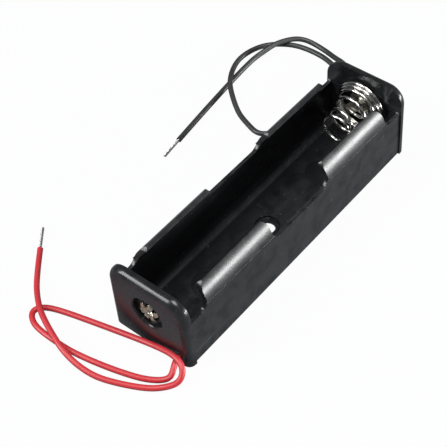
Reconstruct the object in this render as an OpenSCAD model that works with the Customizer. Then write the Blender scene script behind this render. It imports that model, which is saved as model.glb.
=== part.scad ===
// Holder for one cylindrical cell: a moulded tray with hugging clips, a conical
// contact spring, two riveted contacts and two loose leads.
// The origin is the centre of the tray's underside. +X runs along the tray to the
// spring end, +Z is up. All lengths are in millimetres.

/* [Cell] */
// Diameter of the cell that the tray takes
cell_d = 18.3; // [18:0.1:18.6]
// Length of the cell
cell_l = 65; // [64:0.5:67]
// Gap between the cell and the clips that hug it
cell_gap = 0.1; // [0.05:0.05:0.2]

/* [Tray] */
// Thickness of the floor
floor_t = 1.4; // [1.2:0.1:1.8]
// Thickness of the side walls at their foot
side_t = 0.95; // [0.9:0.05:1.2]
// Thickness of the clips where they hug the cell
clip_t = 1.1; // [1:0.05:1.3]
// Height of the side walls between the clips
low_h = 12.5; // [12:0.1:13]
// Height of the end walls
end_h = 19; // [18.5:0.1:19.5]
// Thickness of the end walls
end_t = 2.1; // [1.9:0.1:2.6]
// How far the end walls stand proud of the side walls
end_proud = 0.3; // [0.1:0.05:0.5]
// Radius of the end walls' top corners
end_corner_r = 4.3; // [3.5:0.1:5]
// Radius round the outer face of the end walls
end_edge_r = 1.6; // [1:0.1:1.8]
// Inward lean of the outer walls, in degrees
draft = 1.6; // [0.8:0.1:2]
// Inward lean of the end walls' sides, in degrees
end_draft = 1; // [0.5:0.1:1.5]

/* [Clips] */
// Distance from the middle of the tray to the middle of each clip
clip_x = 20.2; // [19.5:0.1:20.5]
// Length of each clip
clip_l = 21; // [19:0.5:22]
// Angle of the lips above the cell's axis
lip_angle = 45; // [40:1:50]
// Radius of the clips' top corners at the ends of the tray
clip_outer_r = 2.4; // [1.5:0.1:2.6]
// Radius of the clips' top corners at the finger gap
clip_inner_r = 1.5; // [1:0.1:2.4]
// Radius at the foot of each clip
clip_foot_r = 2.4; // [1:0.1:2.6]

/* [Fixing hole] */
// Diameter of the screw hole in the floor
screw_d = 3.7; // [3.2:0.1:4]
// Diameter of the recess for the screw's head
screw_head_d = 5.8; // [5:0.1:6.2]
// Depth of the recess for the screw's head
screw_head_depth = 0.6; // [0.3:0.1:0.8]
// Diameter of the shallow round marks in the floor
mark_d = 7.6; // [6:0.1:9]
// Depth of the shallow round marks
mark_depth = 0.15; // [0.1:0.05:0.3]

/* [Contacts] */
// Outer diameter of the tubular rivets
rivet_d = 2.5; // [2.2:0.1:2.8]
// Wall thickness of the tubular rivets
rivet_wall = 0.3; // [0.25:0.05:0.4]
// Diameter of the positive rivet's head, the contact button
button_d = 5.8; // [5:0.1:6.5]
// Height of the contact button
button_h = 1; // [0.8:0.1:1.4]
// Diameter of the negative rivet's head
clamp_head_d = 3.9; // [3.7:0.1:4.6]
// Height of the negative rivet's head
clamp_head_h = 0.8; // [0.6:0.1:1]
// Height of the rolled petals at the rivets' outer ends
petal_h = 0.8; // [0.6:0.05:0.9]
// Width of the slits between the petals
petal_slit = 0.8; // [0.4:0.05:1]
// Diameter of the round recess that the petals lie in
recess_d = 7.7; // [7.3:0.1:9]
// Depth of that recess
recess_depth = 1.1; // [1:0.05:1.3]
// Thickness of the contact tags
tag_t = 0.3; // [0.2:0.05:0.4]
// Diameter of the contact tags' round ends
tag_d = 7; // [6.5:0.1:8]
// Width of the contact tags' tails
tail_w = 2.6; // [2:0.1:3]

/* [Spring] */
// Diameter of the spring's wire
wire_d = 0.75; // [0.6:0.05:0.8]
// Radius of the spring's coil at its base
coil_base_r = 6.1; // [5.5:0.1:6.3]
// Radius of the spring's coil at its tip
coil_tip_r = 3.55; // [3:0.05:3.9]
// Free length of the spring
spring_l = 10.8; // [10:0.1:11.5]
// Length left for the spring once a cell is in
spring_room = 6.5; // [6:0.1:7]

/* [Leads] */
// Diameter of the leads' insulation
lead_d = 1.3; // [1.2:0.05:1.4]
// Diameter of the stranded conductor
core_d = 0.7; // [0.5:0.05:0.75]
// Distance of the lead holes from the tray's outer side faces
lead_inset = 2.6; // [2.5:0.1:2.8]
// Clearance round a lead and round a rivet in its hole, on the diameter
hole_clear = 0.2; // [0.1:0.05:0.3]
// Length of bare conductor at the free ends
bare_l = 6; // [4:0.5:8]

/* [Hidden] */

$fn = 64;
over = 1;                       // how far cutters run past what they cut
seat_gap = 0.03;                // gap between pieces that touch

cell_r = cell_d / 2;
axis_z = floor_t + cell_r;      // height of the cell's axis
hug_r = cell_r + cell_gap;      // inner radius of the clips
clip_r = hug_r + clip_t;        // outer radius of the clips
side_w = 2 * (hug_r + side_t);  // width over the side walls at their foot
end_w = side_w + 2 * end_proud; // width over the end walls at their foot
foot_r = 2.5;                   // radius where the side walls meet the floor
inner_lean = 0.8;               // outward lean of the inner faces, in degrees
notch_r = 0.8;                  // radius where the notches meet the end walls
base_bevel = 0.3;               // bevel along the tray's lower edges
recess_bevel = 0.3;             // bevel round the recesses' mouths
foot_play = 0.05;               // how far the walls' feet stand inside the cell's radius

bay_l = cell_l + spring_room + tag_t + button_h;
end_in = bay_l / 2;             // inner face of each end wall
tray_l = bay_l + 2 * end_t;
end_out = tray_l / 2;           // outer face of each end wall
recess_x = end_out - recess_depth;

lip_z = axis_z + clip_r * sin(lip_angle);
clip_in_x = clip_x - clip_l / 2;
clip_out_x = clip_x + clip_l / 2;

lead_r = lead_d / 2;
lead_y = side_w / 2 - lead_inset;
core_r = core_d / 2;
lead_z = floor_t + lead_r + seat_gap;
lead_reach = 0.15;              // how far the insulation reaches past the wall's inner face
tag_face = end_in - tag_t;      // the tags' faces that look into the tray
pad_step = 1.6;                 // how far the solder pads lie inward of the lead holes
pad_y = lead_y - pad_step;      // centre of the tags' solder pads
pad_z = 4.4;
solder_r = 1.1;                 // radius of the solder joints
solder_h = 0.9;                 // height of the solder joints
petals = 6;                     // petals that each rivet's outer end is split into

// Points along an arc of radius r about centre c, from angle a to angle b.
function arc(c, r, a, b, steps = 10) =
    [for (i = [0:steps]) c + r * [cos(a + (b - a) * i / steps), sin(a + (b - a) * i / steps)]];

function mirror_y(points) = [for (i = [len(points) - 1:-1:0]) [-points[i].x, points[i].y]];

// ---- Sweeping a round wire along a list of points -------------------------

function unit(v) = v / norm(v);

// Direction of the path at point i.
function heading(p, i) =
    unit(p[min(i + 1, len(p) - 1)] - p[max(i - 1, 0)]);

// A frame carried along the path without twist: each normal is the last one
// with its part along the new heading taken out.
function carried(n, t) = unit(n - (n * t) * t);
function normals(p, start) =
    [for (i = 0, n = carried(start, heading(p, 0)); i < len(p);
          i = i + 1, n = i < len(p) ? carried(n, heading(p, i)) : n) n];

// Solid through a list of rings, each with the same number of points.
module loft(rings) {
    sides = len(rings[0]);
    last = (len(rings) - 1) * sides;
    walls = [for (i = [0:len(rings) - 2], k = [0:sides - 1])
        let (a = i * sides + k, b = i * sides + (k + 1) % sides)
        each [[a, a + sides, b], [b, a + sides, b + sides]]];
    polyhedron([for (ring = rings) each ring], concat(
        [[for (k = [0:sides - 1]) k]],
        walls,
        [[for (k = [sides - 1:-1:0]) last + k]]));
}

module wire(p, r, start = [0, 0, 1], sides = 8) {
    n = normals(p, start);
    loft([for (i = [0:len(p) - 1])
        let (t = heading(p, i), b = cross(t, n[i]))
        [for (k = [0:sides - 1])
            p[i] + r * (cos(360 * k / sides) * n[i] + sin(360 * k / sides) * b)]]);
}

// Smooth curve through the points: a Catmull-Rom spline, cut into equal parts.
function spline_at(a, b, c, d, u) =
    0.5 * (2 * b + (c - a) * u + (2 * a - 5 * b + 4 * c - d) * u * u
        + (3 * b - a - 3 * c + d) * u * u * u);
function smooth(p, parts) = concat(
    [for (i = [0:len(p) - 2], k = [0:parts - 1])
        spline_at(p[max(i - 1, 0)], p[i], p[i + 1], p[min(i + 2, len(p) - 1)], k / parts)],
    [p[len(p) - 1]]);

// ---- Tray -----------------------------------------------------------------

// Outline of the trough's outer skin in Y and Z: leaning walls, closed over the
// cell's axis by the clips' round backs.
module outer_skin() {
    lean = tan(draft) * end_h;
    w = side_w / 2;
    intersection() {
        polygon([
            [-w + base_bevel, 0], [w - base_bevel, 0], [w, base_bevel],
            [w - lean, end_h], [-w + lean, end_h], [-w, base_bevel]
        ]);
        union() {
            translate([0, axis_z]) circle(r = clip_r);
            translate([-end_w, -over]) square([2 * end_w, axis_z + over]);
        }
    }
}

// Outline of the space inside: rounded at the floor, widening upward and then
// following the cell. Above the lips it opens along the lips' radial faces.
module inner_space() {
    foot = cell_r - foot_play;
    top = foot + tan(inner_lean) * axis_z;
    right = concat(
        arc([foot - foot_r, floor_t + foot_r], foot_r, -90, 0, 12),
        [[top, axis_z]]);
    far = 2 * clip_r;
    translate([0, axis_z]) circle(r = hug_r);
    polygon(concat(right, mirror_y(right)));
    translate([0, axis_z]) polygon([
        [0, 0],
        far * [cos(lip_angle), sin(lip_angle)],
        far * [-cos(lip_angle), sin(lip_angle)]
    ]);
}

// Side view of the walls in X and Z: a low wall with one tall clip on each half.
module clip_view(sign) {
    inside = sign * clip_in_x;
    outside = sign * clip_out_x;
    low = concat(
        [[inside - sign * clip_foot_r, 0]],
        [for (p = arc([-clip_foot_r, clip_foot_r], clip_foot_r, -90, 0, 8))
            [inside + sign * p.x, low_h + p.y]],
        [for (p = arc([clip_inner_r, -clip_inner_r], clip_inner_r, 180, 90, 8))
            [inside + sign * p.x, lip_z + p.y]],
        [for (p = arc([-clip_outer_r, -clip_outer_r], clip_outer_r, 90, 0, 8))
            [outside + sign * p.x, lip_z + p.y]],
        [for (p = arc([clip_foot_r, clip_foot_r], clip_foot_r, 180, 270, 8))
            [outside + sign * p.x, low_h + p.y]],
        [[outside + sign * clip_foot_r, 0]]);
    polygon(low);
}

module side_view() {
    translate([-end_in - over, -over]) square([2 * (end_in + over), low_h + over]);
    for (sign = [-1, 1]) {
        clip_view(sign);
        // the notch runs up into the end wall in a small radius
        polygon(concat(
            [[sign * (end_in + over / 2), low_h - over]],
            [[sign * (end_in + over / 2), low_h + notch_r]],
            [for (p = arc([-notch_r, notch_r], notch_r, 0, -90, 6))
                [sign * end_in + sign * p.x, low_h + p.y]],
            [[sign * (end_in - notch_r), low_h - over]]));
    }
}

module trough() {
    intersection() {
        rotate([90, 0, 90]) translate([0, 0, -end_in - over])
            linear_extrude(2 * (end_in + over)) difference() {
                outer_skin();
                inner_space();
            }
        rotate([90, 0, 0]) translate([0, 0, -end_w])
            linear_extrude(2 * end_w) side_view();
    }
}

// Outline of an end wall in Y and Z, moved in by inset from its rim: leaning
// sides that run into round top corners.
function end_outline(inset) =
    let (arm = end_h - end_corner_r,
         corner_y = end_w / 2 - (end_corner_r + sin(end_draft) * arm) / cos(end_draft),
         r = end_corner_r - inset,
         foot = end_w / 2 - inset / cos(end_draft),
         half = concat([[foot, 0]], arc([corner_y, arm], r, end_draft, 90, 12)))
    concat(half, mirror_y(half));

// One end wall at the +X end: its outline stacked outward, and drawn in along a
// quarter circle to round the outer edge.
module end_wall() {
    levels = concat([[0, 0]], [for (p = arc([0, end_t - end_edge_r], end_edge_r, 0, 90, 6))
        [p.y, end_edge_r - p.x]]);
    rings = [for (level = levels)
        [for (p = end_outline(level[1])) [end_in + level[0], p.x, p.y]]];
    loft(rings);
}

// What is cut from one end wall: the rivet's recess with a bevelled mouth, the
// rivet hole and the lead hole, which lies on the side given by sign.
module end_cuts(sign) {
    translate([0, 0, axis_z]) rotate([0, 90, 0]) {
        translate([0, 0, recess_x]) cylinder(d = recess_d, h = recess_depth + over);
        translate([0, 0, end_out - recess_bevel])
            cylinder(d1 = recess_d, d2 = recess_d + 4 * recess_bevel, h = 2 * recess_bevel);
        translate([0, 0, end_in - over])
            cylinder(d = rivet_d + hole_clear, h = end_t + 2 * over);
    }
    translate([end_in - over, sign * lead_y, lead_z]) rotate([0, 90, 0])
        cylinder(d = lead_d + hole_clear, h = end_t + 2 * over);
}

module floor_cuts() {
    translate([0, 0, -over]) cylinder(d = screw_d, h = floor_t + 2 * over);
    translate([0, 0, floor_t - screw_head_depth])
        cylinder(d = screw_head_d, h = screw_head_depth + over);
    for (s = [-1, 1])
        translate([s * clip_x, 0, floor_t - mark_depth])
            cylinder(d = mark_d, h = mark_depth + over);
}

module tray() {
    color([0.09, 0.09, 0.1]) difference() {
        union() {
            trough();
            end_wall();
            mirror([1, 0, 0]) end_wall();
        }
        floor_cuts();
        end_cuts(1);
        rotate(180) end_cuts(1);
    }
}

// ---- Contacts, drawn at the +X end ----------------------------------------

// Flat tag on the end wall: a ring round the rivet and a tail to a solder pad.
module tag() {
    run = [pad_y, pad_z - axis_z];
    translate([tag_face, 0, 0]) rotate([90, 0, 90]) linear_extrude(tag_t) difference() {
        union() {
            translate([0, axis_z]) circle(d = tag_d);
            translate([pad_y, pad_z]) circle(d = tail_w);
            translate([0, axis_z]) rotate(atan2(run.y, run.x))
                translate([0, -tail_w / 2]) square([norm(run), tail_w]);
        }
        translate([0, axis_z]) circle(d = rivet_d + hole_clear);
    }
}

// Tubular rivet with its head's underside at head_x, its shank through the wall
// and its outer end split into petals that roll back onto the recess's floor.
module rivet(head_x, head_d, head_h) {
    r = rivet_d / 2;
    roll = petal_h;
    roll_c = r - rivet_wall + roll;
    cap_r = (pow(head_d / 2, 2) + pow(head_h, 2)) / (2 * head_h);
    translate([0, 0, axis_z]) rotate([0, 90, 0]) difference() {
        union() {
            translate([0, 0, head_x]) rotate_extrude() intersection() {
                translate([0, cap_r - head_h]) circle(r = cap_r, $fn = 128);
                translate([0, -head_h]) square([head_d, head_h]);
            }
            translate([0, 0, recess_x]) rotate_extrude() {
                translate([r - rivet_wall, head_x - recess_x])
                    square([rivet_wall, recess_x - head_x]);
                intersection() {
                    translate([roll_c, 0]) difference() {
                        circle(r = roll);
                        circle(r = roll - rivet_wall);
                    }
                    square([2 * roll_c, 2 * roll]);
                }
            }
        }
        // the slits part the roll into petals
        for (k = [0:petals - 1])
            rotate((k + 0.5) * 360 / petals)
                translate([0, -petal_slit / 2, recess_x + seat_gap])
                    cube([head_d, petal_slit, 2 * roll]);
    }
}

// Bare conductor from the lead's inner end, bent up the tag to the solder pad.
module inner_end() {
    x = end_in - core_r - tag_t - seat_gap;
    wire(smooth([
        [end_in - lead_reach, lead_y, lead_z],
        [x + 0.1, lead_y - 0.05, lead_z + 0.1],
        [x, lead_y - 0.45, lead_z + 0.75],
        [x, pad_y + 0.5, pad_z - 0.75],
        [x, pad_y, pad_z]
    ], 2), core_r, [0, 1, 0]);
}

// Low dome of solder over the conductor's end.
module solder_joint() {
    cap_r = (pow(solder_r, 2) + pow(solder_h, 2)) / (2 * solder_h);
    translate([tag_face, pad_y, pad_z]) rotate([0, -90, 0]) rotate_extrude() intersection() {
        translate([0, solder_h - cap_r]) circle(r = cap_r);
        square([2 * solder_r, 2 * solder_h]);
    }
}

module positive_tag() {
    color([0.78, 0.76, 0.7]) rotate(180) tag();
}

module positive_rivet() {
    color([0.85, 0.8, 0.66]) rotate(180) rivet(tag_face, button_d, button_h);
}

module positive_solder_joint() {
    color([0.7, 0.71, 0.72]) rotate(180) solder_joint();
}

module red_lead_inner_end() {
    color([0.82, 0.8, 0.76]) rotate(180) inner_end();
}

module negative_tag() {
    color([0.78, 0.76, 0.7]) tag();
}

module negative_rivet() {
    color([0.85, 0.8, 0.66])
        rivet(tag_face - wire_d - 2 * seat_gap, clamp_head_d, clamp_head_h);
}

module negative_solder_joint() {
    color([0.7, 0.71, 0.72]) solder_joint();
}

module black_lead_inner_end() {
    color([0.82, 0.8, 0.76]) inner_end();
}

// ---- Contact spring -------------------------------------------------------

// The wire starts under the rivet's head, spirals out flat on the tag, climbs in
// two close turns and two open ones, and ends in a flat ring.
coil_turns = 5.42;              // turns from the edge of the base to the wire's end
close_turns = 2;                // turns that lie on one another
step_turn = 4.36;               // where the last open turn steps onto the ring
ring_turn = 4.56;               // where the flat ring starts
clamp_turns = 0.6;              // part turn under the rivet's head
out_turns = 0.5;                // part turn that runs out to the base
coil_facets = 26;               // rings of facets in one turn
close_pitch = 1.05 * wire_d;    // pitch of the close turns
close_taper = 0.38;             // radius lost in each close turn
pitch_growth = 0.855;           // how fast the open turns part
open_taper = (coil_base_r - close_taper * close_turns - coil_tip_r)
    / (step_turn - close_turns);
clamp_gap = 0.15;               // gap between the rivet's shank and the wire
clamp_r = rivet_d / 2 + wire_d / 2 + clamp_gap;
base_x = tag_face - wire_d / 2 - seat_gap;
tip_x = end_in - spring_l + wire_d / 2;

// How far turn u has gone over the step, eased from 0 to 1.
function stepped(u) =
    let (s = min(max((u - step_turn) / (ring_turn - step_turn), 0), 1)) s * s * (3 - 2 * s);
// How many open turns lie before turn u.
function opened(u) = max(min(u, step_turn) - close_turns, 0);
function coil_r(u) = u < -out_turns ? clamp_r
    : u < 0 ? clamp_r + (coil_base_r - clamp_r) * (1 + u / out_turns)
    : coil_base_r - close_taper * min(u, close_turns) - open_taper * opened(u);
function coil_rise(u) = u < 0 ? 0
    : close_pitch * min(u, step_turn) + pitch_growth * pow(opened(u), 2);
function coil_x(u) =
    base_x - coil_rise(u) - (base_x - coil_rise(step_turn) - tip_x) * stepped(u);

module contact_spring() {
    first = -clamp_turns - out_turns;
    count = round((coil_turns - first) * coil_facets);
    color([0.86, 0.86, 0.84]) wire([for (i = [0:count])
        let (u = first + (coil_turns - first) * i / count)
            [coil_x(u), coil_r(u) * cos(360 * u), axis_z + coil_r(u) * sin(360 * u)]],
        wire_d / 2, [1, 0, 0]);
}

// ---- Loose leads ----------------------------------------------------------

// Routes of the two leads, from the mouth of each hole to where the insulation
// ends. They lie on the table, and rise a little where they cross themselves.
red_route = [
    [-39.6, -7.6, 2], [-40.8, -8.1, 1.6], [-42, -8.6, 1], [-43.2, -8.6, 0.7],
    [-44.7, -7.2, 0.7], [-45.9, -5.1, 0.7], [-47, -2.5, 0.7], [-48.9, 4.2, 0.7],
    [-50.2, 11.2, 0.7], [-50.4, 14.6, 0.7], [-50.5, 20.8, 0.7], [-49.8, 23.6, 0.7],
    [-48.6, 25.3, 0.7], [-47.2, 25.7, 0.7], [-45.7, 24.5, 0.7], [-44.3, 21.8, 0.7],
    [-41.9, 12.3, 0.7], [-39.9, 3.1, 1.1], [-39.4, -1.1, 1.8], [-39.3, -4.6, 2.7],
    [-39.5, -7.4, 3.4], [-40, -9.6, 3.2], [-41, -10.8, 2.4], [-42.4, -11.1, 1.3],
    [-44, -10.3, 0.8], [-46, -8.5, 0.7], [-48, -5.9, 0.7], [-51.1, 1.1, 0.7],
    [-51.9, 4.9, 0.8], [-52.1, 8.5, 1.2], [-51.8, 11.7, 1.8], [-51, 14.9, 2.15],
    [-48.4, 21.6, 2.15], [-46.6, 24.7, 2.15], [-44.2, 27.9, 1.4], [-41.5, 31, 0.75],
    [-34.7, 36.7, 0.7]
];
black_route = [
    [40.3, 7.9, 1.9], [43.6, 9.2, 1.1], [47, 11.6, 0.7], [50.2, 15.6, 0.7],
    [52.3, 21.2, 0.7], [52.8, 24, 0.7], [52.9, 27.6, 0.7], [52.4, 31.2, 0.7],
    [51.1, 34.2, 0.7], [47.6, 38.8, 0.7], [41.3, 40.2, 0.9], [37.4, 39.3, 1.4],
    [33.7, 37.6, 2], [30.9, 35.8, 2.15], [28.8, 33.9, 1.9], [25, 28.9, 0.8],
    [23.6, 25.8, 0.7], [22.5, 22.6, 0.7], [21.6, 19.2, 0.7], [25.2, 16.3, 0.7],
    [29.5, 14.6, 0.7], [35, 13.8, 0.9], [41, 13.7, 1.6], [46.8, 13.6, 2.2],
    [50.8, 14.8, 2.2], [53, 17, 1.7], [53.8, 20.2, 1], [54.8, 23.2, 0.7],
    [55.3, 26.9, 0.75], [55, 30.2, 1.3], [53.3, 32.4, 1.95], [50.9, 33.9, 2.15],
    [48.4, 35.3, 2.15], [45.7, 36, 1.7], [43.2, 36.9, 1], [39.1, 37.3, 0.7],
    [20.6, 35.3, 0.7], [9, 33.8, 0.7]
];

// Each lead starts inside its end wall, where the tags' side begins.
red_path = smooth(concat(
    [[-end_in + lead_reach, -lead_y, lead_z], [-end_out, -lead_y, lead_z]],
    red_route), 2);
black_path = smooth(concat(
    [[end_in - lead_reach, lead_y, lead_z], [end_out, lead_y, lead_z]],
    black_route), 2);

// Bare conductor that goes on straight from the end of a route.
module bare_end(route) {
    last = route[len(route) - 1];
    dir = unit(last - route[len(route) - 2]);
    wire([last, last + dir * bare_l / 2, last + dir * bare_l], core_r);
}

module red_lead() {
    color([0.83, 0.13, 0.16]) wire(red_path, lead_r);
}

module red_lead_bare_end() {
    color([0.82, 0.8, 0.76]) bare_end(red_path);
}

module black_lead() {
    color([0.12, 0.12, 0.13]) wire(black_path, lead_r);
}

module black_lead_bare_end() {
    color([0.82, 0.8, 0.76]) bare_end(black_path);
}

tray();
positive_tag();
positive_rivet();
positive_solder_joint();
red_lead();
red_lead_bare_end();
red_lead_inner_end();
negative_tag();
negative_rivet();
negative_solder_joint();
black_lead();
black_lead_bare_end();
black_lead_inner_end();
contact_spring();
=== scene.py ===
"""Dresses a cylindrical cell holder: a black moulded tray, a conical contact spring,
two split rivets on their tags, and two stripped leads, on a white table."""

import math
import random

import bmesh
import bpy
from mathutils import Matrix, Vector


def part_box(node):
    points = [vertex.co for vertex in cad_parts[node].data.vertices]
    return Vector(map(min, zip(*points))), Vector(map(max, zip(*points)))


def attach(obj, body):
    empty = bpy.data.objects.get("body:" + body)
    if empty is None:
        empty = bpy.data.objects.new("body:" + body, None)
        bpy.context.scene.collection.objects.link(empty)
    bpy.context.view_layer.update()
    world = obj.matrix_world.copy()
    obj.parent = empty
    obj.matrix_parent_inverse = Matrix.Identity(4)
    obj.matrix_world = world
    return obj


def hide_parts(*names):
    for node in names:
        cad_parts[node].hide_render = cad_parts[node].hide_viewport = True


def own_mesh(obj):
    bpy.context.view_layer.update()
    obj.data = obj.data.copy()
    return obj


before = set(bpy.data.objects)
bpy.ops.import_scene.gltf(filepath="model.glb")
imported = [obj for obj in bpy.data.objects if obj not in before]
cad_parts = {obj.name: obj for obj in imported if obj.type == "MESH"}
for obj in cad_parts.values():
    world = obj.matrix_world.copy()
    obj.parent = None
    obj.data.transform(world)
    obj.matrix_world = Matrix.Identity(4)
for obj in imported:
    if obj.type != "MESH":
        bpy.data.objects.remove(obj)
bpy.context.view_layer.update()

bl_info = {
    "name": "Cylindrical cell holder",
    "version": (1, 0, 0),
    "blender": (4, 5, 0),
    "location": "3D View > Sidebar > Cell holder",
    "description": "Makes a moulded cell holder with its spring, rivets and leads",
    "category": "Object",
}

MM = 0.001
TRAY_LOW, TRAY_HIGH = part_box("tray")
HALF_LENGTH = TRAY_HIGH.x
SPRING_LOW, SPRING_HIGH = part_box("contact_spring")
RIVET_LOW, RIVET_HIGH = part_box("negative_rivet")
SOLDER_LOW, SOLDER_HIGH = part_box("negative_solder_joint")
WALL_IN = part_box("negative_tag")[1].x   # inner face of the end walls
AXIS_HEIGHT = (RIVET_LOW.z + RIVET_HIGH.z) / 2
HOLE = Vector((HALF_LENGTH, 0.0076, 0.00208))
INSULATION_REACH = 0.00015      # how far the insulation runs past the wall's inner face
CORE_RADIUS = 0.00035
TAG_THICKNESS = 0.0003
SEAT_GAP = 0.00003
RIVET_SHANK, RIVET_WALL, PETAL_ROLL = 0.00125, 0.0003, 0.0008
RECESS_DEPTH = 0.0011
RIVET_HEADS = {"positive": (0.0029, 0.001), "negative": (0.00195, 0.0008)}  # radius, height
CLIP_X, CLIP_LENGTH = 0.0202, 0.021
BEAD_LENGTH = CLIP_LENGTH + 0.001
BEAD_Y, BEAD_Z = 0.00979, 0.01383   # where the clips' round backs leave the side walls

# The leads' routes over the table, from their holes to where the insulation ends,
# in millimetres.
RED_ROUTE = (
    (-39.6, -7.6, 2), (-40.8, -8.1, 1.6), (-42, -8.6, 1), (-43.2, -8.6, 0.7),
    (-44.7, -7.2, 0.7), (-45.9, -5.1, 0.7), (-47, -2.5, 0.7), (-48.9, 4.2, 0.7),
    (-50.2, 11.2, 0.7), (-50.4, 14.6, 0.7), (-50.5, 20.8, 0.7), (-49.8, 23.6, 0.7),
    (-48.6, 25.3, 0.7), (-47.2, 25.7, 0.7), (-45.7, 24.5, 0.7), (-44.3, 21.8, 0.7),
    (-41.9, 12.3, 0.7), (-39.9, 3.1, 1.1), (-39.4, -1.1, 1.8), (-39.3, -4.6, 2.7),
    (-39.5, -7.4, 3.4), (-40, -9.6, 3.2), (-41, -10.8, 2.4), (-42.4, -11.1, 1.3),
    (-44, -10.3, 0.8), (-46, -8.5, 0.7), (-48, -5.9, 0.7), (-51.1, 1.1, 0.7),
    (-51.9, 4.9, 0.8), (-52.1, 8.5, 1.2), (-51.8, 11.7, 1.8), (-51, 14.9, 2.15),
    (-48.4, 21.6, 2.15), (-46.6, 24.7, 2.15), (-44.2, 27.9, 1.4), (-41.5, 31, 0.75),
    (-34.7, 36.7, 0.7),
)
BLACK_ROUTE = (
    (40.3, 7.9, 1.9), (43.6, 9.2, 1.1), (47, 11.6, 0.7), (50.2, 15.6, 0.7),
    (52.3, 21.2, 0.7), (52.8, 24, 0.7), (52.9, 27.6, 0.7), (52.4, 31.2, 0.7),
    (51.1, 34.2, 0.7), (47.6, 38.8, 0.7), (41.3, 40.2, 0.9), (37.4, 39.3, 1.4),
    (33.7, 37.6, 2), (30.9, 35.8, 2.15), (28.8, 33.9, 1.9), (25, 28.9, 0.8),
    (23.6, 25.8, 0.7), (22.5, 22.6, 0.7), (21.6, 19.2, 0.7), (25.2, 16.3, 0.7),
    (29.5, 14.6, 0.7), (35, 13.8, 0.9), (41, 13.7, 1.6), (46.8, 13.6, 2.2),
    (50.8, 14.8, 2.2), (53, 17, 1.7), (53.8, 20.2, 1), (54.8, 23.2, 0.7),
    (55.3, 26.9, 0.75), (55, 30.2, 1.3), (53.3, 32.4, 1.95), (50.9, 33.9, 2.15),
    (48.4, 35.3, 2.15), (45.7, 36, 1.7), (43.2, 36.9, 1), (39.1, 37.3, 0.7),
    (20.6, 35.3, 0.7), (9, 33.8, 0.7),
)


# ---- Sizes and colours that a user would change -----------------------------


class TraySettings(bpy.types.PropertyGroup):
    edge_round: bpy.props.FloatProperty(
        name="Edge round", description="Radius that softens the moulding's edges",
        default=0.00016, min=0.00004, max=0.0004, precision=5, subtype="DISTANCE", unit="LENGTH")
    colour: bpy.props.FloatVectorProperty(
        name="Plastic", description="Colour of the moulded plastic",
        default=(0.0065, 0.007, 0.0078), min=0, max=1, subtype="COLOR")
    bead: bpy.props.FloatProperty(
        name="Bead", description="Radius of the bead along the foot of each clip",
        default=0.0001, min=0.00003, max=0.0002, precision=5, subtype="DISTANCE", unit="LENGTH")


class SpringSettings(bpy.types.PropertyGroup):
    wire: bpy.props.FloatProperty(
        name="Wire", description="Diameter of the spring's wire",
        default=0.00075, min=0.0004, max=0.001, precision=5, subtype="DISTANCE", unit="LENGTH")
    base_radius: bpy.props.FloatProperty(
        name="Base radius", description="Radius of the largest turn, to the wire's centre",
        default=0.0061, min=0.004, max=0.007, precision=5, subtype="DISTANCE", unit="LENGTH")
    tip_radius: bpy.props.FloatProperty(
        name="Tip radius", description="Radius of the ring that meets the cell",
        default=0.00355, min=0.002, max=0.005, precision=5, subtype="DISTANCE", unit="LENGTH")
    turns: bpy.props.FloatProperty(
        name="Turns", description="Turns from the edge of the base to the wire's end",
        default=5.42, min=4.7, max=7)
    colour: bpy.props.FloatVectorProperty(
        name="Plating", description="Colour of the plated wire",
        default=(0.80, 0.79, 0.76), min=0, max=1, subtype="COLOR")


class ContactSettings(bpy.types.PropertyGroup):
    petals: bpy.props.IntProperty(
        name="Petals", description="Petals that the rivet's split end is rolled into",
        default=6, min=4, max=8)
    petal_width: bpy.props.FloatProperty(
        name="Petal width", description="Width of one petal",
        default=0.00112, min=0.0006, max=0.0016, precision=5, subtype="DISTANCE", unit="LENGTH")
    colour: bpy.props.FloatVectorProperty(
        name="Rivet", description="Colour of the plated rivets",
        default=(0.72, 0.70, 0.57), min=0, max=1, subtype="COLOR")
    tag_colour: bpy.props.FloatVectorProperty(
        name="Tag", description="Colour of the contact tags",
        default=(0.74, 0.73, 0.69), min=0, max=1, subtype="COLOR")


class LeadSettings(bpy.types.PropertyGroup):
    diameter: bpy.props.FloatProperty(
        name="Insulation", description="Diameter of the leads over their insulation",
        default=0.0013, min=0.001, max=0.0016, precision=5, subtype="DISTANCE", unit="LENGTH")
    strands: bpy.props.IntProperty(
        name="Strands", description="Strands in each conductor, with the one in its middle",
        default=8, min=4, max=12)
    strand: bpy.props.FloatProperty(
        name="Strand", description="Diameter of one strand",
        default=0.0002, min=0.0001, max=0.0003, precision=5, subtype="DISTANCE", unit="LENGTH")
    bare: bpy.props.FloatProperty(
        name="Stripped length", description="Bare conductor at each free end",
        default=0.006, min=0.003, max=0.008, precision=4, subtype="DISTANCE", unit="LENGTH")
    red: bpy.props.FloatVectorProperty(
        name="Red", description="Colour of the positive lead",
        default=(0.52, 0.026, 0.034), min=0, max=1, subtype="COLOR")
    black: bpy.props.FloatVectorProperty(
        name="Black", description="Colour of the negative lead",
        default=(0.022, 0.022, 0.023), min=0, max=1, subtype="COLOR")


class StageSettings(bpy.types.PropertyGroup):
    floor_colour: bpy.props.FloatVectorProperty(
        name="Table", description="Colour of the table",
        default=(0.24, 0.25, 0.265), min=0, max=1, subtype="COLOR")
    lens: bpy.props.FloatProperty(
        name="Lens", description="Focal length of the camera, in millimetres on 36 mm",
        default=94.14, min=20, max=300)


# ---- Node trees --------------------------------------------------------------


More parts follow.
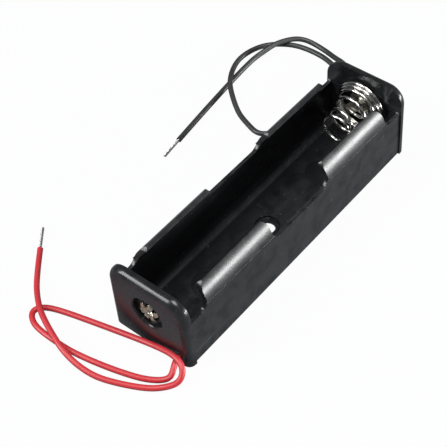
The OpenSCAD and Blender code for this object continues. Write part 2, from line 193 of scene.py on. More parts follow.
class Amount:
    """A socket's value, so that sums on it are written as plain Python."""

    def __init__(self, maker, socket):
        self.maker, self.socket = maker, socket

    def _math(self, operation, *values):
        return self.maker.amount("ShaderNodeMath", {"operation": operation},
                                 dict(enumerate(values)))

    def __add__(self, other):
        return self._math("ADD", self, other)

    def __sub__(self, other):
        return self._math("SUBTRACT", self, other)

    def __rsub__(self, other):
        return self._math("SUBTRACT", other, self)

    def __mul__(self, other):
        return self._math("MULTIPLY", self, other)

    def __truediv__(self, other):
        return self._math("DIVIDE", self, other)

    def __pow__(self, other):
        return self._math("POWER", self, other)

    def __lt__(self, other):
        return self._math("LESS_THAN", self, other)

    def __gt__(self, other):
        return self._math("GREATER_THAN", self, other)

    __radd__ = __add__
    __rmul__ = __mul__

    def least(self, other):
        return self._math("MINIMUM", self, other)

    def most(self, other):
        return self._math("MAXIMUM", self, other)

    def cos(self):
        return self._math("COSINE", self)

    def sin(self):
        return self._math("SINE", self)

    def eased(self, low, high):
        """0 below low and 1 above high, with a soft step between."""
        part = ((self - low) / (high - low)).most(0.0).least(1.0)
        return part * part * (3.0 - 2.0 * part)


class Maker:
    """Adds nodes to one tree."""

    def __init__(self, tree):
        self.tree = tree

    def node(self, kind, settings=None, values=None):
        """A node of that type. Its settings go in first, then what its sockets hold."""
        made = self.tree.nodes.new(kind)
        for name, value in (settings or {}).items():
            setattr(made, name, value)
        for key, value in (values or {}).items():
            socket = made.inputs[key]
            if isinstance(value, Amount):
                self.tree.links.new(value.socket, socket)
            elif isinstance(value, bpy.types.NodeSocket):
                self.tree.links.new(value, socket)
            else:
                socket.default_value = value
        return made

    def amount(self, kind, settings=None, values=None, out=0):
        """One output of a new node, ready for sums."""
        return Amount(self, self.node(kind, settings, values).outputs[out])

    def blend(self, factor, one, other):
        """A colour between two colours."""
        made = self.node("ShaderNodeMix", {"data_type": "RGBA"}, {0: factor, 6: one, 7: other})
        return made.outputs[2]

    def link(self, out, into):
        self.tree.links.new(out.socket if isinstance(out, Amount) else out, into)


def new_material(name):
    material = bpy.data.materials.new(name)
    material.use_nodes = True
    material.node_tree.nodes.clear()
    return material, Maker(material.node_tree)


def finish_material(make, colour, roughness, height, distance, fixed, metallic=0.0):
    """Joins a surface's colour, roughness and relief in one shader."""
    bump = make.node("ShaderNodeBump", {}, {
        "Strength": 1.0, "Distance": distance, "Height": height})
    shader = make.node("ShaderNodeBsdfPrincipled", {}, {
        "Base Color": colour, "Roughness": roughness, "Metallic": metallic,
        "Normal": bump.outputs["Normal"], **fixed})
    out = make.node("ShaderNodeOutputMaterial")
    make.link(shader.outputs["BSDF"], out.inputs["Surface"])


def place(make, scale=(1, 1, 1), turn=(0, 0, 0)):
    """The surface's place in the object, in metres, stretched and turned."""
    where = make.node("ShaderNodeTexCoord").outputs["Object"]
    return make.node("ShaderNodeMapping", {}, {
        "Vector": where, "Scale": scale, "Rotation": turn}).outputs["Vector"]


def noise(make, vector, scale, detail=3.0, roughness=0.5, distortion=0.0):
    return make.amount("ShaderNodeTexNoise", {}, {
        "Vector": vector, "Scale": scale, "Detail": detail,
        "Roughness": roughness, "Distortion": distortion})


def attribute(make, name):
    return make.amount("ShaderNodeAttribute", {"attribute_name": name}, {}, out=2)


def moulded_plastic(name, colour):
    """Semi-gloss black moulding: fine spark grain, a slow wave in the skin, hairline
    scuffs, a little dust and paler worn edges."""
    material, make = new_material(name)
    where = place(make)
    grain = noise(make, where, 5200, detail=2.0)
    wave = noise(make, where, 95, detail=1.0)
    cloud = noise(make, where, 320, detail=4.0)
    along = noise(make, place(make, (22, 900, 700), (0.02, 0.05, 0.11)), 1.0, detail=1.0)
    across = noise(make, place(make, (800, 30, 900), (0.3, 0.1, -0.4)), 1.0, detail=1.0)
    patch = noise(make, where, 60, detail=2.0)
    scuff = (along.eased(0.71, 0.76) + across.eased(0.73, 0.77)) * patch.eased(0.42, 0.62)
    dust = noise(make, where, 2600, detail=0.0).eased(0.80, 0.83) * cloud.eased(0.5, 0.7)
    wear = attribute(make, "edge_wear") * cloud.eased(0.3, 0.6)
    tone = make.blend(cloud * 0.5, (*colour, 1), tuple(c * 1.5 for c in colour) + (1,))
    tone = make.blend(wear * 0.45, tone, (0.045, 0.047, 0.05, 1))
    tone = make.blend(scuff * 0.35, tone, (0.05, 0.052, 0.055, 1))
    tone = make.blend(dust * 0.55, tone, (0.22, 0.22, 0.21, 1))
    roughness = 0.19 + cloud * 0.10 + scuff * 0.14 + dust * 0.3 + grain * 0.03
    height = grain * 0.35 + wave * 9.0 - scuff * 0.9
    finish_material(make, tone, roughness, height, 0.000004, {"IOR": 1.48})
    return material


def lead_insulation(name, colour, pale):
    """Extruded vinyl: a soft sheen, faint lengthwise drawing marks and handling dust."""
    material, make = new_material(name)
    where = place(make)
    fine = noise(make, where, 3200, detail=3.0)
    slow = noise(make, where, 140, detail=2.0)
    tone = make.blend(slow.eased(0.3, 0.7) * 0.6, (*colour, 1), (*pale, 1))
    smudge = noise(make, where, 700, detail=3.0).eased(0.56, 0.72)
    tone = make.blend(smudge * 0.15, tone, tuple(0.6 * c + 0.06 for c in colour) + (1,))
    roughness = 0.36 + slow * 0.14 + smudge * 0.1
    finish_material(make, tone, roughness, fine * 0.8 + slow * 4.0, 0.000006,
                    {"IOR": 1.52, "Coat Weight": 0.18, "Coat Roughness": 0.3,
                     "Subsurface Weight": 0.04, "Subsurface Scale": 0.0004,
                     "Subsurface Radius": (1.0, 0.3, 0.25)})
    return material


def plated_wire(name, colour):
    """Bright plated spring wire with drawing lines along it and darker blemishes."""
    material, make = new_material(name)
    where = place(make)
    turn = attribute(make, "turn")
    round_wire = attribute(make, "round_wire")
    lines = make.amount("ShaderNodeTexNoise", {"noise_dimensions": "2D"}, {
        "Vector": make.node("ShaderNodeCombineXYZ", {}, {
            0: turn * 3.0, 1: round_wire * 40.0, 2: 0.0}).outputs[0],
        "Scale": 1.0, "Detail": 2.0})
    blemish = noise(make, where, 900, detail=4.0).eased(0.55, 0.75)
    tone = make.blend(blemish * 0.5, (*colour, 1), (0.50, 0.46, 0.38, 1))
    roughness = 0.12 + lines * 0.08 + blemish * 0.16
    finish_material(make, tone, roughness, lines * 0.5 + blemish * 0.3, 0.0000015, {},
                    metallic=1.0)
    return material


def plated_metal(name, colour, tarnish, rough=0.22, relief=0.000006):
    """Pressed and plated brass: satin, with warmer tarnish where the plating is thin."""
    material, make = new_material(name)
    where = place(make)
    cloud = noise(make, where, 750, detail=5.0, roughness=0.6)
    fine = noise(make, where, 4200, detail=3.0)
    stain = cloud.eased(0.48, 0.68)
    tone = make.blend(stain * 0.8, (*colour, 1), (*tarnish, 1))
    roughness = rough + stain * 0.2 + fine * 0.06
    finish_material(make, tone, roughness, fine * 0.6 + cloud * 1.4, relief, {}, metallic=1.0)
    return material


def bright_solder(name):
    """Solder that froze smooth, with a dull skin in places and a trace of flux."""
    material, make = new_material(name)
    where = place(make)
    skin = noise(make, where, 1800, detail=4.0).eased(0.4, 0.65)
    flux = noise(make, where, 600, detail=2.0).eased(0.62, 0.7)
    tone = make.blend(skin, (0.72, 0.73, 0.74, 1), (0.52, 0.52, 0.53, 1))
    tone = make.blend(flux * 0.6, tone, (0.36, 0.22, 0.07, 1))
    finish_material(make, tone, 0.16 + skin * 0.25, skin + flux * 2.0, 0.000012, {},
                    metallic=1.0)
    return material


def tinned_strand(name):
    """Tinned copper strands with a little copper where the tin is rubbed."""
    material, make = new_material(name)
    where = place(make)
    rubbed = noise(make, where, 2600, detail=3.0).eased(0.58, 0.72)
    streak = noise(make, where, 5200, detail=2.0)
    tone = make.blend(rubbed * 0.35, (0.78, 0.77, 0.75, 1), (0.62, 0.36, 0.22, 1))
    finish_material(make, tone, 0.26 + streak * 0.2, streak, 0.000004, {}, metallic=0.95)
    return material


# ---- Meshes --------------------------------------------------------------------


def new_object(name, mesh, material):
    thing = bpy.data.objects.new(name, mesh)
    bpy.context.scene.collection.objects.link(thing)
    if material is not None:
        mesh.materials.clear()
        mesh.materials.append(material)
    return thing


def settle(thing):
    """Turns an object and its modifiers into a plain mesh of its own."""
    bpy.context.view_layer.update()
    seen = thing.evaluated_get(bpy.context.evaluated_depsgraph_get())
    mesh = bpy.data.meshes.new_from_object(seen)
    name = thing.name
    bpy.data.objects.remove(thing)
    mesh.name = name
    return new_object(name, mesh, None)


def tidy(mesh, dist=1e-7):
    """Merges what lies together and turns every face outward."""
    work = bmesh.new()
    work.from_mesh(mesh)
    bmesh.ops.remove_doubles(work, verts=work.verts, dist=dist)
    bmesh.ops.recalc_face_normals(work, faces=work.faces)
    work.to_mesh(mesh)
    work.free()


def softened(node, name, material, width, flat=0.4, sharp=24.0, wear=True):
    """A CAD node's shape with its flat faces whole and its edges rounded."""
    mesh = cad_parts[node].data.copy()
    mesh.name = name
    work = bmesh.new()
    work.from_mesh(mesh)
    bmesh.ops.remove_doubles(work, verts=work.verts, dist=1.5e-6)
    bmesh.ops.dissolve_degenerate(work, dist=1e-6, edges=work.edges)
    bmesh.ops.dissolve_limit(work, angle_limit=math.radians(flat), verts=work.verts,
                             edges=work.edges, use_dissolve_boundaries=False)
    bmesh.ops.recalc_face_normals(work, faces=work.faces)
    for face in work.faces:
        face.smooth = True
    work.to_mesh(mesh)
    work.free()
    thing = new_object(name, mesh, material)
    bevel = thing.modifiers.new("round the edges", "BEVEL")
    bevel.width = width
    bevel.segments = 3
    bevel.limit_method = "ANGLE"
    bevel.angle_limit = math.radians(sharp)
    bevel.use_clamp_overlap = True
    bevel.harden_normals = False
    bevel.loop_slide = True
    normals = thing.modifiers.new("even the shading", "WEIGHTED_NORMAL")
    normals.keep_sharp = True
    normals.weight = 80
    thing = settle(thing)
    if wear:
        mark_edges(thing.data)
    return thing


def mark_edges(mesh):
    """Stores how sharply the surface turns at each point, for worn edges."""
    work = bmesh.new()
    work.from_mesh(mesh)
    turned = []
    for vert in work.verts:
        most = 0.0
        for edge in vert.link_edges:
            if len(edge.link_faces) == 2 and edge.is_convex:
                most = max(most, edge.calc_face_angle(0.0))
        turned.append(min(1.0, most / 0.5))
    work.free()
    layer = mesh.attributes.new("edge_wear", "FLOAT", "POINT")
    layer.data.foreach_set("value", turned)


def lathed(name, profile, centre, material, steps=72, out=1.0):
    """Turns a closed profile of (along, radius) points about the tray's axis."""
    work = bmesh.new()
    rings = []
    for k in range(steps):
        angle = 2 * math.pi * k / steps
        rings.append([
            work.verts.new(centre + Vector((out * x, r * math.cos(angle), r * math.sin(angle))))
            for x, r in profile])
    for k in range(steps):
        one, other = rings[k], rings[(k + 1) % steps]
        for i in range(len(profile) - 1):
            work.faces.new((one[i], one[i + 1], other[i + 1], other[i]))
    mesh = bpy.data.meshes.new(name)
    bmesh.ops.remove_doubles(work, verts=work.verts, dist=1e-7)
    bmesh.ops.recalc_face_normals(work, faces=work.faces)
    for face in work.faces:
        face.smooth = True
    work.to_mesh(mesh)
    work.free()
    return new_object(name, mesh, material)


def rod(name, start, end, radius, material, sides=12):
    """A round rod with domed ends, from start to end along X."""
    rows = [(-1, 0.15), (-0.7, 0.75), (0, 1), (0, 1), (0.7, 0.75), (1, 0.15)]
    verts, faces = [], []
    for i, (shift, size) in enumerate(rows):
        centre = (start if i < 3 else end) + Vector((shift * radius, 0, 0))
        for k in range(sides):
            angle = 2 * math.pi * k / sides
            verts.append(centre + Vector((0, math.cos(angle), math.sin(angle))) * radius * size)
    for i in range(len(rows) - 1):
        for k in range(sides):
            a, b = i * sides + k, i * sides + (k + 1) % sides
            faces.append((a, a + sides, b + sides, b))
    faces.append(tuple(range(sides)))
    faces.append(tuple(reversed(range(len(verts) - sides, len(verts)))))
    mesh = bpy.data.meshes.new(name)
    mesh.from_pydata([tuple(v) for v in verts], [], faces)
    tidy(mesh)
    for face in mesh.polygons:
        face.use_smooth = True
    return new_object(name, mesh, material)


def join(name, *things):
    """One mesh out of several that ride together and share a material."""
    work = bmesh.new()
    for thing in things:
        work.from_mesh(thing.data)
    mesh = bpy.data.meshes.new(name)
    work.to_mesh(mesh)
    work.free()
    material = things[0].data.materials[0]
    for thing in things:
        bpy.data.objects.remove(thing)
    return new_object(name, mesh, material)


# ---- Geometry Nodes -----------------------------------------------------------


class Tree:
    """A Geometry Nodes tree with named inputs, and how it is put on a mesh."""

    def __init__(self, name, inputs):
        self.group = bpy.data.node_groups.new(name, "GeometryNodeTree")
        face = self.group.interface
        face.new_socket("Geometry", in_out="INPUT", socket_type="NodeSocketGeometry")
        self.keys = {}
        for label, kind, value in inputs:
            socket = face.new_socket(label, in_out="INPUT", socket_type=f"NodeSocket{kind}")
            if value is not None:
                socket.default_value = value
            self.keys[label] = socket.identifier
        face.new_socket("Geometry", in_out="OUTPUT", socket_type="NodeSocketGeometry")
        self.make = Maker(self.group)
        self.start = self.make.node("NodeGroupInput")

    def given(self, label):
        return Amount(self.make, self.start.outputs[label])

    def end(self, geometry):
        """Realizes what is left of instances, sets the material and closes the tree."""
        make = self.make
        real = make.node("GeometryNodeRealizeInstances", {}, {"Geometry": geometry})
        dressed = make.node("GeometryNodeSetMaterial", {}, {
            "Geometry": real.outputs["Geometry"], "Material": self.start.outputs["Material"]})
        out = make.node("NodeGroupOutput")
        make.link(dressed.outputs["Geometry"], out.inputs["Geometry"])

    def put_on(self, thing, values):
        modifier = thing.modifiers.new(self.group.name, "NODES")
        modifier.node_group = self.group
        for label, value in values.items():
            modifier[self.keys[label]] = value
        return settle(thing)


def wire_tube(make, curve, radius, sides):
    """A round tube on a curve, with what it stores for its finish."""
    ring = make.node("GeometryNodeCurvePrimitiveCircle", {"mode": "RADIUS"}, {
        "Resolution": sides, "Radius": radius})
    about = make.node("GeometryNodeSplineParameter").outputs["Factor"]
    ring = make.node("GeometryNodeStoreNamedAttribute", {
        "data_type": "FLOAT", "domain": "POINT"}, {
        "Geometry": ring.outputs["Curve"], "Name": "round_wire", "Value": about})
    tube = make.node("GeometryNodeCurveToMesh", {}, {
        "Curve": curve, "Profile Curve": ring.outputs["Geometry"], "Fill Caps": True})
    return make.node("GeometryNodeSetShadeSmooth", {}, {
        "Geometry": tube.outputs["Mesh"]}).outputs["Geometry"]


def spring_tree():
    """A conical spring: a part turn round the rivet, a run out to the base, close turns,
    open turns, and a step onto a flat ring."""
    tree = Tree("conical spring", [
        ("Material", "Material", None), ("Wire Radius", "Float", 0.000375),
        ("Base Radius", "Float", 0.0061), ("Tip Radius", "Float", 0.00355),
        ("Clamp Radius", "Float", 0.00178), ("Turns", "Float", 5.42),
        ("Close Turns", "Float", 2.0), ("Step Turn", "Float", 4.36),
        ("Ring Turn", "Float", 4.56), ("First Turn", "Float", -1.1),
        ("Close Taper", "Float", 0.00038), ("Pitch Growth", "Float", 0.000855),
        ("Out Turns", "Float", 0.5), ("Base X", "Float", 0.0), ("Tip X", "Float", 0.0),
        ("Axis Z", "Float", 0.0), ("Points", "Int", 460)])
    make, given = tree.make, tree.given
    line = make.node("GeometryNodeMeshLine", {"mode": "OFFSET"}, {"Count": given("Points")})
    curve = make.node("GeometryNodeMeshToCurve", {}, {"Mesh": line.outputs["Mesh"]})
    index = make.amount("GeometryNodeInputIndex", {}, {})
    first, turns = given("First Turn"), given("Turns")
    turn = first + (turns - first) * index / (given("Points") - 1.0)
    base, tip, clamp = given("Base Radius"), given("Tip Radius"), given("Clamp Radius")
    step, ring, close = given("Step Turn"), given("Ring Turn"), given("Close Turns")
    out = given("Out Turns")
    over = turn.eased(step, ring)
    taper, growth = given("Close Taper"), given("Pitch Growth")
    positive = turn.most(0.0)
    past = (positive.least(step) - close).most(0.0)
    open_taper = (base - taper * close - tip) / (step - close)
    cone = base - taper * positive.least(close) - open_taper * past
    run_out = clamp + (base - clamp) * (turn / out + 1.0).most(0.0)
    inner = turn < 0.0
    radius = run_out * inner + cone * (1.0 - inner)
    close_pitch = given("Wire Radius") * 2.1
    base_x, tip_x = given("Base X"), given("Tip X")
    rise = close_pitch * positive.least(step) + growth * past * past
    top = close_pitch * step + growth * (step - close) * (step - close)
    along = base_x - rise - (base_x - top - tip_x) * over
    angle = turn * (2 * math.pi)
    where = make.node("ShaderNodeCombineXYZ", {}, {
        0: along, 1: radius * angle.cos(), 2: given("Axis Z") + radius * angle.sin()})
    placed = make.node("GeometryNodeSetPosition", {}, {
        "Geometry": curve.outputs["Curve"], "Position": where.outputs[0]})
    marked = make.node("GeometryNodeStoreNamedAttribute", {
        "data_type": "FLOAT", "domain": "POINT"}, {
        "Geometry": placed.outputs["Geometry"], "Name": "turn", "Value": turn})
    tree.end(wire_tube(make, marked.outputs["Geometry"], given("Wire Radius"), 14))
    return tree


def strand_tree():
    """Twisted strands round a middle one, along a line of points, splayed at the tip."""
    tree = Tree("twisted strands", [
        ("Material", "Material", None), ("Strands", "Int", 8),
        ("Strand Radius", "Float", 0.0001), ("Lay Radius", "Float", 0.0002),
        ("Twists", "Float", 1.5), ("Splay", "Float", 0.0), ("Points", "Int", 60),
        ("Seed", "Int", 3)])
    make, given = tree.make, tree.given
    curve = make.node("GeometryNodeMeshToCurve", {}, {"Mesh": tree.start.outputs["Geometry"]})
    even = make.node("GeometryNodeResampleCurve", {"mode": "COUNT"}, {
        "Curve": curve.outputs["Curve"], "Count": given("Points")})
    copies = make.node("GeometryNodeDuplicateElements", {"domain": "SPLINE"}, {
        "Geometry": even.outputs["Curve"], "Amount": given("Strands")})
    number = Amount(make, copies.outputs["Duplicate Index"])
    part = make.amount("GeometryNodeSplineParameter", {}, {})
    chance = Amount(make, make.node("FunctionNodeRandomValue", {"data_type": "FLOAT"}, {
        "Min": -1.0, "Max": 1.0, "ID": number, "Seed": given("Seed")}).outputs[1])
    angle = (number / (given("Strands") - 1.0) + given("Twists") * part) * (2 * math.pi) \
        + chance * 0.25
    spread = given("Lay Radius") + given("Splay") * part * part * part * (chance + 1.2)
    reach = spread * (number > 0.5)
    normal = make.node("GeometryNodeInputNormal").outputs["Normal"]
    tangent = make.node("GeometryNodeInputTangent").outputs["Tangent"]
    side = make.node("ShaderNodeVectorMath", {"operation": "CROSS_PRODUCT"}, {
        0: tangent, 1: normal}).outputs["Vector"]

    def scaled(vector, amount):
        return make.node("ShaderNodeVectorMath", {"operation": "SCALE"}, {
            0: vector, "Scale": amount}).outputs["Vector"]

    offset = make.node("ShaderNodeVectorMath", {"operation": "ADD"}, {
        0: scaled(normal, reach * angle.cos()), 1: scaled(side, reach * angle.sin())})
    laid = make.node("GeometryNodeSetPosition", {}, {
        "Geometry": copies.outputs["Geometry"], "Offset": offset.outputs["Vector"]})
    tree.end(wire_tube(make, laid.outputs["Geometry"], given("Strand Radius"), 8))
    return tree


def petal_tree():
    """Copies one petal round the rivet's axis, each a little different."""
    tree = Tree("rivet petals", [
        ("Material", "Material", None), ("Petals", "Int", 6), ("Centre", "Vector", (0, 0, 0)),
        ("Facing", "Float", 0.0), ("Unevenness", "Float", 0.07), ("Seed", "Int", 11)])
    make, given = tree.make, tree.given
    points = make.node("GeometryNodePoints", {}, {
        "Count": given("Petals"), "Position": tree.start.outputs["Centre"]})
    index = make.amount("GeometryNodeInputIndex", {}, {})

    def chance(seed):
        return Amount(make, make.node("FunctionNodeRandomValue", {"data_type": "FLOAT"}, {
            "Min": -1.0, "Max": 1.0, "ID": index,
            "Seed": given("Seed") + seed}).outputs[1]) * given("Unevenness")

    turn = (index / given("Petals") + 0.05) * (2 * math.pi) + chance(1) * 1.6
    spin = make.node("ShaderNodeCombineXYZ", {}, {0: turn, 1: 0.0, 2: 0.0}).outputs[0]
    face = make.node("ShaderNodeCombineXYZ", {}, {0: 0.0, 1: 0.0, 2: given("Facing")}).outputs[0]
    rotation = make.node("FunctionNodeRotateEuler", {"rotation_type": "EULER", "space": "OBJECT"},
                         {"Rotation": face, "Rotate By": spin}).outputs[0]
    size = make.node("ShaderNodeCombineXYZ", {}, {
        0: 1.0 - chance(2) * chance(2) * 8.0, 1: 1.0 + chance(3), 2: 1.0 + chance(3) * 0.3})
    spread = make.node("GeometryNodeInstanceOnPoints", {}, {
        "Points": points.outputs[0], "Instance": tree.start.outputs["Geometry"],
        "Rotation": rotation, "Scale": size.outputs[0]})
    tree.end(spread.outputs["Instances"])
    return tree


# ---- Pieces -------------------------------------------------------------------


def relaxed(points, rounds):
    """The same line with each point drawn toward the middle of its neighbours."""
    for _ in range(rounds):
        points = [points[0], points[1]] + [
            (a + 2 * b + c) / 4 for a, b, c in zip(points[1:], points[2:], points[3:])
        ] + [points[-1]]
    return points


def smooth_route(points, parts=4):
    """Points of a soft curve through a route's points."""
    route = [Vector(p) for p in points]
    soft = []
    for i in range(len(route) - 1):
        a, b = route[max(i - 1, 0)], route[i]
        c, d = route[i + 1], route[min(i + 2, len(route) - 1)]
        for k in range(parts):
            u = k / parts
            soft.append(0.5 * (2 * b + (c - a) * u + (2 * a - 5 * b + 4 * c - d) * u * u
                               + (3 * b - a - 3 * c + d) * u * u * u))
    return soft + [route[-1]]


def lead_points(route, side):
    """A lead's whole line in metres: through its wall, then over the table."""
    start = Vector((side * (WALL_IN - INSULATION_REACH), side * HOLE.y, HOLE.z))
    mouth = Vector((side * HOLE.x, side * HOLE.y, HOLE.z))
    return relaxed(smooth_route([start, mouth] + [Vector(p) * MM for p in route], 5), 12)


def length_of(points):
    return sum((b - a).length for a, b in zip(points, points[1:]))


def polyline(name, points):
    mesh = bpy.data.meshes.new(name)
    mesh.from_pydata([tuple(p) for p in points], [(i, i + 1) for i in range(len(points) - 1)], [])
    return new_object(name, mesh, None)


def lead(name, route, side, material, settings):
    """A lead's insulation, as one curve with a round section."""
    points = lead_points(route, side)
    curve = bpy.data.curves.new(name, "CURVE")
    curve.dimensions = "3D"
    curve.bevel_depth = settings.diameter / 2
    curve.bevel_resolution = 6
    curve.use_fill_caps = True
    spline = curve.splines.new("POLY")
    spline.points.add(len(points) - 1)
    for point, where in zip(spline.points, points):
        point.co = (*where, 1)
    curve.materials.append(material)
    thing = bpy.data.objects.new(name, curve)
    bpy.context.scene.collection.objects.link(thing)
    return thing, points


def strands(name, points, material, settings, tree, twists, splay, seed):
    """Stripped strands along a line of points."""
    radius = settings.strand / 2
    lay = radius * 1.05 / math.sin(math.pi / (settings.strands - 1))
    return tree.put_on(polyline(name, points), {
        "Material": material, "Strands": settings.strands, "Strand Radius": radius,
        "Lay Radius": min(lay, 0.00026), "Twists": twists, "Splay": splay, "Seed": seed})


def inner_points(side):
    """The line of a conductor from its insulation up its tag to the solder."""
    x = WALL_IN - CORE_RADIUS - TAG_THICKNESS - SEAT_GAP
    y, z = HOLE.y, HOLE.z
    pad_y, pad_z = (SOLDER_LOW.y + SOLDER_HIGH.y) / 2, (SOLDER_LOW.z + SOLDER_HIGH.z) / 2
    line = [(WALL_IN - INSULATION_REACH, y, z), (x + 0.0001, y - 0.00005, z + 0.0001),
            (x, y - 0.00045, z + 0.00075), (x, pad_y + 0.0005, pad_z - 0.00075),
            (x, pad_y, pad_z)]
    return smooth_route([(side * px, side * py, pz) for px, py, pz in line])


class CELLHOLDER_OT_stage(bpy.types.Operator):
    """Set up the camera, the white table and the studio lights"""
    bl_idname = "cellholder.stage"
    bl_label = "Stage"

    def execute(self, context):
        settings = context.scene.cell_stage
        data = bpy.data.cameras.new("camera")
        data.lens = settings.lens
        data.sensor_width = 36
        data.clip_start = 0.01
        data.clip_end = 20
        camera = bpy.data.objects.new("camera", data)
        eye = Vector((-0.1280, -0.1085, 0.1983))
        target = Vector((-0.0044, 0.00898, 0))
        look = (target - eye).normalized()
        up = Vector((0.612, 0.452, 0.649))
        up = (up - up.dot(look) * look).normalized()
        right = look.cross(up)
        camera.matrix_world = Matrix((
            (right.x, up.x, -look.x, eye.x),
            (right.y, up.y, -look.y, eye.y),
            (right.z, up.z, -look.z, eye.z),
            (0, 0, 0, 1)))
        context.scene.collection.objects.link(camera)
        context.scene.camera = camera

        mesh = bpy.data.meshes.new("table")
        half, low = 2.0, -0.00004
        mesh.from_pydata([(-half, -half, low), (half, -half, low), (half, half, low),
                          (-half, half, low)], [], [(0, 1, 2, 3)])
        material, make = new_material("white table")
        cloud = noise(make, place(make), 40, detail=3.0)
        tone = make.blend(cloud * 0.5, (*settings.floor_colour, 1),
                          tuple(0.985 * c for c in settings.floor_colour) + (1,))
        paper = make.node("ShaderNodeBsdfPrincipled", {}, {
            "Base Color": tone, "Roughness": 0.8, "Specular IOR Level": 0.1})
        glow = make.node("ShaderNodeEmission", {}, {"Color": (1, 1, 1, 1), "Strength": 1.06})
        seen = make.amount("ShaderNodeLightPath", {}, {})
        mixed = make.node("ShaderNodeMixShader", {}, {
            0: seen * 0.90, 1: paper.outputs[0], 2: glow.outputs[0]})
        out = make.node("ShaderNodeOutputMaterial")
        make.link(mixed.outputs[0], out.inputs["Surface"])
        new_object("table", mesh, material)

        world = bpy.data.worlds.new("studio")
        world.use_nodes = True
        world.node_tree.nodes.clear()
        make = Maker(world.node_tree)
        path = make.node("ShaderNodeLightPath")
        camera_ray = Amount(make, path.outputs["Is Camera Ray"])
        through = Amount(make, path.outputs["Is Transmission Ray"])
        backdrop = make.node("ShaderNodeBackground", {}, {"Color": (1, 1, 1, 1), "Strength": 1.0})
        room = make.node("ShaderNodeBackground", {}, {
            "Color": (0.93, 0.96, 1, 1), "Strength": 0.13})
        mixed = make.node("ShaderNodeMixShader", {}, {
            0: camera_ray.most(through), 1: room.outputs[0], 2: backdrop.outputs[0]})
        out = make.node("ShaderNodeOutputWorld")
        make.link(mixed.outputs[0], out.inputs["Surface"])
        context.scene.world = world
        context.scene.view_settings.view_transform = "Standard"

        def softbox(name, where, size, watts, at=(0, 0, 0.008), colour=(1, 1, 1)):
            lamp = bpy.data.lights.new(name, "AREA")
            lamp.shape = "RECTANGLE"
            lamp.size, lamp.size_y = size
            lamp.energy = watts
            lamp.color = colour
            thing = bpy.data.objects.new(name, lamp)
            thing.location = where
            thing.rotation_euler = (Vector(where) - Vector(at)).to_track_quat("Z", "Y").to_euler()
            context.scene.collection.objects.link(thing)
            return thing

        softbox("side strip", (0.17, -0.283, 0.045), (0.32, 0.05), 1.7)
        softbox("back strip", (-0.37, 0.30, 0.36), (0.16, 0.42), 2.6)
        softbox("overhead", (-0.05, -0.10, 0.75), (0.35, 0.35), 4.2)
        return {"FINISHED"}


class CELLHOLDER_OT_leads(bpy.types.Operator):
    """Make the two leads with their stripped ends"""
    bl_idname = "cellholder.leads"
    bl_label = "Leads"

    def execute(self, context):
        settings = context.scene.cell_leads
        tinned = tinned_strand("tinned copper")
        tree = strand_tree()
        finishes = {
            "red": (RED_ROUTE, -1, lead_insulation(
                "red vinyl", settings.red, tuple(min(1, c * 1.12 + 0.01) for c in settings.red)),
                "red_insulation"),
            "black": (BLACK_ROUTE, 1, lead_insulation(
                "black vinyl", settings.black, tuple(c * 1.5 + 0.004 for c in settings.black)),
                "black_insulation"),
        }
        for seed, (shade, (route, side, material, slot)) in enumerate(finishes.items()):
            insulation, points = lead(f"{shade}_insulation", route, side, material, settings)
            last = points[-1]
            ahead = (last - points[-2]).normalized()
            bare = [last - ahead * 0.0005 + ahead * (settings.bare + 0.0005) * k / 12
                    for k in range(13)]
            tip = strands(f"{shade}_stripped_end", bare, tinned, settings, tree, 1.6, 0.00003,
                          5 + seed)
            inner = strands(f"{shade}_soldered_end", inner_points(side), tinned, settings, tree,
                            1.0, 0.0, 9 + seed)
            for piece, node in ((insulation, f"{shade}_lead"),
                                (tip, f"{shade}_lead_bare_end"),
                                (inner, f"{shade}_lead_inner_end")):
                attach(piece, "holder")
                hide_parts(node)
                slot if piece is insulation else "tinned_copper"
            side * HOLE.x
            side * HOLE.y
            length_of(points)
        return {"FINISHED"}


class CELLHOLDER_OT_tray(bpy.types.Operator):
    """Make the moulded tray, with the fine bead that the mould leaves at the clips' foot"""
    bl_idname = "cellholder.tray"
    bl_label = "Tray"

    def execute(self, context):
        settings = context.scene.cell_tray
        plastic = moulded_plastic("moulded black plastic", settings.colour)
        tray = softened("tray", "tray_body", plastic, settings.edge_round)
        beads = [rod(f"bead_{i}", Vector((x - BEAD_LENGTH / 2, y * BEAD_Y, BEAD_Z)),
                     Vector((x + BEAD_LENGTH / 2, y * BEAD_Y, BEAD_Z)), settings.bead, plastic)
                 for i, (x, y) in enumerate((x, y) for x in (-CLIP_X, CLIP_X) for y in (-1, 1))]
        tray = join("moulded_tray", tray, *beads)
        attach(tray, "holder")
        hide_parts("tray")
        return {"FINISHED"}


